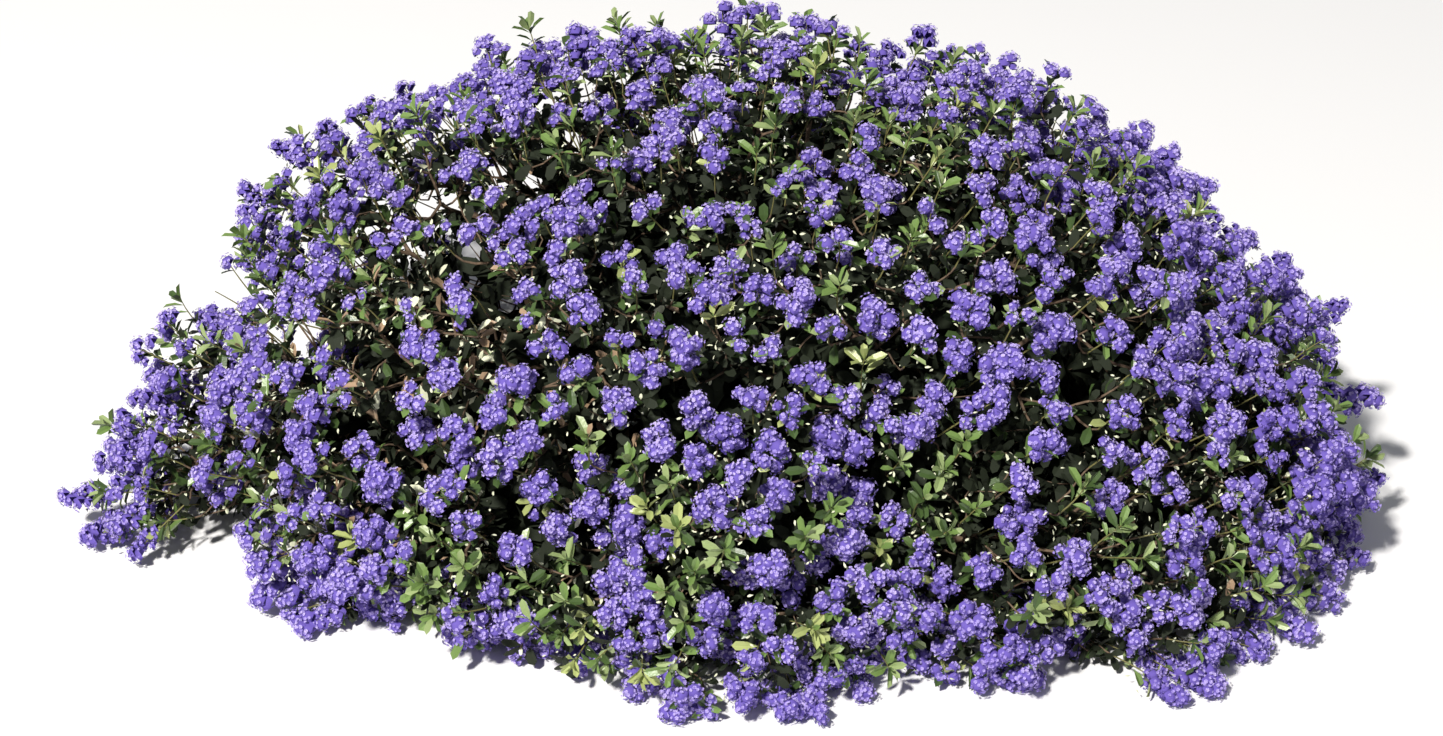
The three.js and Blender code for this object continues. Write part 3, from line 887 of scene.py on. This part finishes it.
def add_shade_leaf(at, along, up, dry):
    """A leaf inside the crown, in painted shade: large ones deep down, and now and then a small one near
    the surface with a painted glint.
    """
    deep = depth(at) < DEEP
    r = rng.random()
    brown, bleached = (share * dry for share in DRY_INNER)
    if r < bleached:
        shade = "dead" if r < brown else "pale"
        add_leaf(at, along, up, between(DRY_LEAF), shade, between(DRY_WIDTH))
    elif deep:
        add_leaf(at, along, up, between(DEEP_LEAF), "shade", DEEP_WIDTH)
    elif r > SMALL_ABOVE:
        add_leaf(at, along, up, between(SMALL_LEAF), "pale", SHADE_WIDTH)
    else:
        shade = "shade" if r < DARKEST_BELOW else "dark"
        add_leaf(at, along, up, between(SHADE_LEAF), shade, SHADE_WIDTH)


def dress_twig(points, dry):
    """Leaves in the crown's shade along a twig."""
    for a, b in zip(points[:-1], points[1:]):
        span = norm(b - a)
        way = (b - a) / max(span, TINY)
        for _ in range(int(span / LEAF_GAP + rng.random())):
            at = a + (b - a) * rng.random()
            along = around(way, between(TWIG_LEAN), any_angle())
            add_shade_leaf(at, along, np.array([0, 0, 1.0]) + rng.normal(0, TWIG_ROLL, 3), dry)


def dress_inner(shoot):
    """Leaves in the shade all round an inner shoot."""
    tube(TWIGS, [shoot.end, shoot.tip], [TWIG_TIP, SHOOT_TIP], INNER_SIDES)
    turn = any_angle()
    for k in range(INNER_LEAVES):
        at = shoot.tip - shoot.way * shoot.length * rng.random()
        along = around(shoot.way, between(INNER_LEAN), turn + GOLDEN * k)
        add_shade_leaf(at, along, shoot.way + rng.normal(0, INNER_ROLL, 3), shoot.dry)


def add_shoot_stem(shoot, flecks):
    """An outer shoot's stem with tiny leaves behind its tip, pale as painted glints. Returns an angle round
    it.
    """
    bend = shoot.end + shoot.way * shoot.length * 0.5 + rng.normal(0, SHOOT_BEND, 3)
    radii = np.linspace(TWIG_TIP, SHOOT_TIP, SHOOT_STEPS + 1)
    tube(GREEN_TWIGS, bezier(shoot.end, bend, shoot.tip, SHOOT_STEPS), radii, SHOOT_SIDES)
    turn = any_angle()
    for _ in range(flecks):
        side = around(shoot.way, np.pi / 2, any_angle())
        at = shoot.tip - shoot.way * between(FLECKS_BEHIND) + side * between(FLECKS_BESIDE)
        along = unit(side + rng.normal(0, FLECK_STRAY, 3))
        add_leaf(at, along, rolled(shoot.way), between(FLECK_LEAF), "pale", FLECK_WIDTH)
    return turn


def dress_flowering(shoot):
    """A head of small round umbels, set round the shoot's last stretch, over a few leaves."""
    turn = add_shoot_stem(shoot, HEAD_FLECKS)
    long = add_head(shoot, turn)
    for k in range(rng.integers(*HEAD_LEAVES)):
        along = around(shoot.way, between(HEAD_LEAN), turn + GOLDEN * k)
        at = shoot.tip - shoot.way * (long + between(BEHIND_HEAD))
        up = rolled(shoot.way)
        add_leaf(at, along, up, between(HEAD_LEAF), outer_shade(shoot, HEAD_LIGHT))


def dress_leafy(shoot):
    """A rosette of leaves at the tip, over pairs of leaves that lie deeper, in painted shade."""
    way, tip = shoot.way, shoot.tip
    turn = add_shoot_stem(shoot, ROSETTE_FLECKS)
    count = rng.integers(*ROSETTE_LEAVES)
    for k in range(count):
        lean = ROSETTE_LEAN[0] + ROSETTE_LEAN[1] * (k + rng.random()) / count
        along = around(way, lean, turn + GOLDEN * k)
        length = between(ROSETTE_LEAF) + ROSETTE_GROWTH * k / count
        at = tip - way * ROSETTE_DEPTH * k / count
        add_leaf(at, along, rolled(way), length, outer_shade(shoot, ROSETTE_LIGHT))
    for k in range(int(shoot.length / PAIR_GAP)):
        for half in (0, np.pi):
            angle = turn + half + k * np.pi / 2 + rng.normal(0, PAIR_STRAY)
            at = tip - way * (FIRST_PAIR + PAIR_GAP * k + between(PAIR_SLIP))
            along = around(way, between(PAIR_LEAN), angle)
            up = rolled(way)
            add_leaf(at, along, up, between(PAIR_LEAF), outer_shade(shoot, PAIR_LIGHT * k))


# ---- umbels on the shoots
Umbel = namedtuple("Umbel", "centre radius shoot")
umbels = []


def add_head(shoot, turn):
    """Umbels round a flowering shoot's last stretch, whose length it returns."""
    size = between(HEAD_SIZES)
    long = UMBEL_STEP * shoot.umbels * size
    for k in range(shoot.umbels):
        share = (k + FIRST_UMBEL) / shoot.umbels
        lean = between(UMBEL_LEAN)
        side = around(shoot.way, lean, turn + GOLDEN * k + rng.normal(0, UMBEL_STRAY))
        arc = math.sin(np.pi * (HEAD_SHAPE[0] + HEAD_SHAPE[1] * share))
        girth = (HEAD_GIRTH[0] + HEAD_GIRTH[1] * arc) * size * between(HEAD_SPREAD) * shoot.slim
        centre = shoot.tip - shoot.way * long * share + side * girth
        radius = UMBEL * size * between(UMBEL_SIZES)
        centre[2] = max(centre[2], radius + LOWEST)
        umbels.append(Umbel(centre, radius, shoot))
    return long


def clear_lanes():
    """Leaves and umbels that would close a lane are dropped."""
    roots = np.array([leaf.root for leaf in leaves])
    spans = np.array([leaf.along * leaf.length for leaf in leaves])
    closed = np.zeros(len(leaves), bool)
    for share in LEAF_SAMPLES:
        closed |= in_lanes(roots + spans * share, LANE_MARGINS["leaf"])
    leaves[:] = [leaf for leaf, drop in zip(leaves, closed) if not drop]
    closed = in_lanes([umbel.centre for umbel in umbels], LANE_MARGINS["umbel"])
    umbels[:] = [umbel for umbel, drop in zip(umbels, closed) if not drop]


# ---- leaves as arrays
def leaf_template():
    """An obovate blade folded along its midrib: x along, y across, z up. Unit length and width."""
    fold = 0.22
    points = [(0, 0, 0)]
    for x, half, droop in ((0.46, 0.42, -0.02), (0.85, 0.42, -0.10)):
        edge = droop + fold * half
        points += [(x, half, edge), (x, 0, droop), (x, -half, edge)]
    points.append((1.0, 0, -0.15))
    faces = [(0, 2, 1), (0, 3, 2)]
    for k in (1, 2):
        faces += [(k, k + 1, k + 4), (k, k + 4, k + 3)]
    faces += [(4, 5, 7), (5, 6, 7)]
    return np.array(points, float), np.array(faces)


def shade_leaf_template():
    """A plainer blade for the crown's inside."""
    points = [(0, 0, 0)]
    for x, half, droop in ((0.5, 0.46, 0.02), (0.86, 0.36, -0.08)):
        points += [(x, half, droop), (x, -half, droop)]
    points.append((1, 0, -0.14))
    return np.array(points, float), np.array([(0, 2, 1), (1, 2, 4), (1, 4, 3), (3, 4, 5)])


def leaf_bag(entries, template):
    points, faces = template
    root, along, up, length, width, _ = (np.array(values) for values in zip(*entries))
    length, width = length[:, None, None], width[:, None, None]
    side = unit(np.cross(up, along) + TINY)
    face = np.cross(along, side)
    p = root[:, None] + along[:, None] * points[None, :, :1] * length
    p = p + side[:, None] * points[None, :, 1:2] * width + face[:, None] * points[None, :, 2:] * length
    p[..., 2] = np.maximum(p[..., 2], LOWEST)
    first = len(points) * np.arange(len(entries))[:, None, None]
    bag = Bag()
    bag.add(p.reshape(-1, 3), (faces[None] + first).reshape(-1, 3))
    return bag


# ---- florets as arrays
def ball_directions(count):
    """Directions spread over a ball on a spiral, which stray a little."""
    i = np.arange(count) + 0.5
    z = 1 - 2 * i / count
    phi = GOLDEN * i + rng.uniform(0, 6.28)
    ring = np.sqrt(1 - z**2)
    even = np.stack([ring * np.cos(phi), ring * np.sin(phi), z], axis=1)
    return unit(even + rng.normal(0, FLORET_SCATTER, (count, 3)))


def florets():
    """Where the florets sit on all umbels: centre, outward way, the crown's outward way and tone. A floret
    inside a neighbouring umbel of its head, or on the side that faces into the crown, is left out."""
    heads = {}
    for umbel in sorted(umbels, key=lambda umbel: umbel.shoot.number):
        heads.setdefault(umbel.shoot, []).append(umbel)
    found = []
    for shoot, head in heads.items():
        for umbel in head:
            ways = ball_directions(int(4 * umbel.radius**2 / FLORET**2 * FLORET_COVER))
            heights = umbel.radius * between(FLORET_HEIGHTS, len(ways))
            places = umbel.centre + ways * heights[:, None]
            keep = ways @ shoot.out > INWARD
            for other in head:
                if other is not umbel:
                    keep &= norm(places - other.centre, axis=1) > other.radius
            outs = np.broadcast_to(shoot.out, ways.shape)
            tones = np.full(len(ways), shoot.tone)
            found.append([values[keep] for values in (places, ways, outs, tones)])
    return (np.concatenate(values) for values in zip(*found))


def petal_triangles():
    """The petals of all florets, one triangle each, and how light each is painted: painted light the more
    its floret faces the sky and out of the crown, painted shade the less."""
    places, ways, outs, tones = florets()
    n = unit(ways + rng.normal(0, FLORET_TILT, ways.shape))
    u, v = square_to(n)
    count = len(n)
    spin = rng.uniform(0, 2 * np.pi, (count, 1)) + 2 * np.pi / PETALS * np.arange(PETALS)
    reach = FLORET * between(PETAL_REACH, (count, 1))
    corners = []
    for step in (-PETAL_HALF, PETAL_HALF):
        lift = between(PETAL_LIFT, (count, PETALS))[..., None] * n[:, None]
        flat = np.cos(spin + step)[..., None] * u[:, None] + np.sin(spin + step)[..., None] * v[:, None]
        corners.append(places[:, None] + flat * reach[..., None] + lift)
    middle = np.broadcast_to((places - n * FLORET_SUNK)[:, None], corners[0].shape)
    triangles = np.stack([middle, *corners], axis=2)
    # painted light and shade: florets that face the sky and out of the crown are made lighter, those that
    # face down or in darker
    painted_light_by_facing = SKY_PAINTED_LIGHT * ways[:, 2] + OUTWARD_PAINTED_LIGHT * (ways * outs).sum(axis=1)
    light = (TONE_LIGHT * tones + painted_light_by_facing)[:, None] + rng.normal(0, FLORET_VARIETY, (count, 1))
    light = light + rng.normal(0, PETAL_VARIETY, (count, PETALS))
    return triangles.reshape(-1, 3, 3), light.ravel()


def small_ball():
    """The 12 corners and 20 faces of an icosahedron, facing out."""
    g = (1 + math.sqrt(5)) / 2
    signs = [(x, y) for x in (-1, 1) for y in (-1, 1)]
    points = [(x, y * g, 0) for x, y in signs]
    points += [(0, x, y * g) for x, y in signs]
    points += [(y * g, 0, x) for x, y in signs]
    points = unit(points)
    faces = []
    far = 0.4  # cosine between corners that are neighbours is 0.447
    for i, j, k in combinations(range(12), 3):
        a, b, c = points[i], points[j], points[k]
        if min(a @ b, b @ c, c @ a) > far:
            faces.append((i, j, k) if np.cross(b - a, c - a) @ a > 0 else (i, k, j))
    return points, np.array(faces)


def heart_bag():
    """Under the florets of each umbel, the part of a ball that faces outwards."""
    bag = Bag()
    points, faces = small_ball()
    ways = unit(points[faces].mean(axis=1))
    for umbel in umbels:
        shown = ways @ umbel.shoot.out > HEART_INWARD
        bag.add(umbel.centre + points * umbel.radius * HEART, faces[shown])
    return bag


# ---- materials
def linear(colour):
    """An sRGB colour of 0 to 255 as linear light."""
    return tuple(((c / 255 + 0.055) / 1.055) ** 2.4 for c in colour) + (1.0,)


def set_inputs(node, values):
    for name, value in values.items():
        node.inputs[name].default_value = value


def material(name, colour, roughness, grain, relief, sheen=0.0, specular=0.5):
    """A plain base colour with a fine procedural relief."""
    mat = bpy.data.materials.new(name)
    mat.use_nodes = True
    nodes, links = mat.node_tree.nodes, mat.node_tree.links
    shader = nodes["Principled BSDF"]
    set_inputs(shader, {"Base Color": colour, "Roughness": roughness})
    set_inputs(shader, {"Sheen Weight": sheen, "Specular IOR Level": specular})
    place = nodes.new("ShaderNodeTexCoord")
    bumps = nodes.new("ShaderNodeTexNoise")
    set_inputs(bumps, {"Scale": grain, "Detail": 3})
    height = nodes.new("ShaderNodeBump")
    set_inputs(height, {"Strength": relief, "Distance": RELIEF_HEIGHT})
    links.new(place.outputs["Object"], bumps.inputs["Vector"])
    links.new(bumps.outputs["Fac"], height.inputs["Height"])
    links.new(height.outputs["Normal"], shader.inputs["Normal"])
    return mat


def bark_material(name):
    """Two browns mixed by noise, with ridges in relief."""
    low, high, scale = BARK[name]
    mat = material(name, linear(low), roughness=0.9, grain=scale * 3, relief=0.6)
    nodes, links = mat.node_tree.nodes, mat.node_tree.links
    streaks = nodes.new("ShaderNodeTexNoise")
    set_inputs(streaks, {"Scale": scale, "Detail": 5})
    ramp = nodes.new("ShaderNodeValToRGB")
    for end, position, colour in zip(ramp.color_ramp.elements, BARK_MIX, (low, high)):
        end.position = position
        end.color = linear(colour)
    links.new(nodes["Texture Coordinate"].outputs["Object"], streaks.inputs["Vector"])
    links.new(streaks.outputs["Fac"], ramp.inputs["Fac"])
    links.new(ramp.outputs["Color"], nodes["Principled BSDF"].inputs["Base Color"])
    return mat


# ---- the pieces
def bark_relief(seed, deep):
    """Broad and fine ridges, as factors of a limb's radius at each ring and angle."""
    def ridges(ring, angle, pace):
        turn, step = pace
        place = (math.cos(angle) * turn + seed, math.sin(angle) * turn, ring * step)
        return noise.noise(Vector(place))

    def relief(ring, angles):
        broad = np.array([ridges(ring, angle, BROAD_RIDGES) for angle in angles])
        fine = np.array([ridges(ring, angle, FINE_RIDGES) for angle in angles])
        return 1 + deep * broad + FINE_DEPTH * deep * fine

    return relief


def add_stem():
    bag = Bag()
    top = STEM["height"]
    z = np.linspace(STEM_FOOT, top, STEM_RINGS)
    radii = np.interp(z, *zip(*STEM_PROFILE))
    tube(bag, np.stack([0 * z, 0 * z, z], axis=1), radii, STEM_SIDES, bark_relief(3, STEM_RIDGES))
    ring = bag.vertices[0][-STEM_SIDES:]
    k = np.arange(STEM_SIDES)
    middle = np.full(STEM_SIDES, STEM_SIDES)
    cone = np.concatenate([ring, [[0, 0, top + STEM_CAP]]])
    bag.add(cone, np.stack([k, (k + 1) % STEM_SIDES, middle, middle], axis=1))
    add_piece("stem_bark", bag, bark_material("stem_bark"), ["stem"], True)


def add_boughs():
    """All boughs, each with its last ring drawn in."""
    bag = Bag()
    for number, mass in enumerate(MASSES):
        radii = np.linspace(mass.root, mass.tip, len(mass.path)) * BOUGH_SLIM
        radii = np.append(radii, mass.tip * BOUGH_CAP)
        path = np.concatenate([mass.path, mass.path[-1:] + mass.heading * BOUGH_CAP])
        tube(bag, path, radii, BOUGH_SIDES, bark_relief(10 + number, BOUGH_RIDGES))
    add_piece("bough_bark", bag, bark_material("bough_bark"), BOUGHS, True)


def add_twigs():
    add_piece("twigs", TWIGS, bark_material("twig_bark"), FOLIAGE, True)
    green_wood = material("green_wood", linear(GREEN_WOOD), roughness=0.6, grain=400, relief=0.3)
    add_piece("shoots", GREEN_TWIGS, green_wood, FOLIAGE, True)


def add_leaves():
    for name, colour in LEAF_SHADES.items():
        inner = name in ("shade", "pale")
        rough, shine = (0.7, 0.2) if inner else (0.34, 0.5)
        look = material(f"leaf_{name}", linear(colour), rough, grain=500, relief=0.35, specular=shine)
        own = [leaf for leaf in leaves if leaf.shade == name]
        bag = leaf_bag(own, shade_leaf_template() if inner else leaf_template())
        add_piece(f"leaves_{name}", bag, look, FOLIAGE)


def add_umbels():
    triangles, light = petal_triangles()
    triangles[..., 2] = np.maximum(triangles[..., 2], LOWEST)
    # the petals' shades follow that painted light and shade, share by share
    steps = np.quantile(light, [1 - share for _, _, share in BLOSSOM])
    above = np.inf
    for (name, colour, _), low in zip(BLOSSOM, steps):
        own = triangles[(light < above) & (light >= low)]
        above = low
        bag = Bag()
        bag.add(own.reshape(-1, 3), np.arange(len(own) * 3).reshape(-1, 3))
        look = material(
            f"petals_{name}", linear(colour), 0.8, grain=900, relief=0.3, sheen=0.1, specular=0.1
        )
        add_piece(f"blossom_{name}", bag, look, FOLIAGE)
    # the ball under the florets carries the painted shade between them
    look = material("petals_shadow", linear(BLOSSOM_HEART_SHADE), 0.9, grain=900, relief=0.3, specular=0.1)
    add_piece("blossom_hearts", heart_bag(), look, FOLIAGE, True)


# ---- floor, light and camera
def add_floor():
    bpy.ops.mesh.primitive_plane_add(size=FLOOR_SIZE, location=(0, 0, FLOOR_HEIGHT))
    floor = bpy.context.object
    floor.name = "floor"
    floor.data.materials.append(material("floor", FLOOR_COLOUR, roughness=0.9, grain=40, relief=0.02))


def light_scene():
    world = bpy.data.worlds.new("studio")
    world.use_nodes = True
    set_inputs(world.node_tree.nodes["Background"], {"Color": SKY_COLOUR, "Strength": SKY_STRENGTH})
    bpy.context.scene.world = world
    for name, place, size, power, colour in LIGHTS:
        data = bpy.data.lights.new(name, "AREA")
        data.shape = "DISK"
        data.size = size
        data.energy = power
        data.color = colour
        light = add_object(name, data)
        light.location = place
        light.rotation_euler = (Vector(LIT_POINT) - Vector(place)).to_track_quat("-Z", "Y").to_euler()


def set_camera():
    data = bpy.data.cameras.new("camera")
    data.lens = CAMERA_LENS
    data.sensor_width = CAMERA_SENSOR
    camera = add_object("camera", data)
    lift = math.radians(CAMERA_ELEVATION)
    back = Vector((0, -math.cos(lift), math.sin(lift)))
    camera.location = Vector(CAMERA_AIM) + back * CAMERA_DISTANCE
    camera.rotation_euler = (math.pi / 2 - lift, 0, 0)
    bpy.context.scene.camera = camera
    bpy.context.scene.view_settings.view_transform = "Standard"


grow_crown()
clear_lanes()
add_stem()
add_boughs()
add_twigs()
add_leaves()
add_umbels()
add_floor()
light_scene()
set_camera()
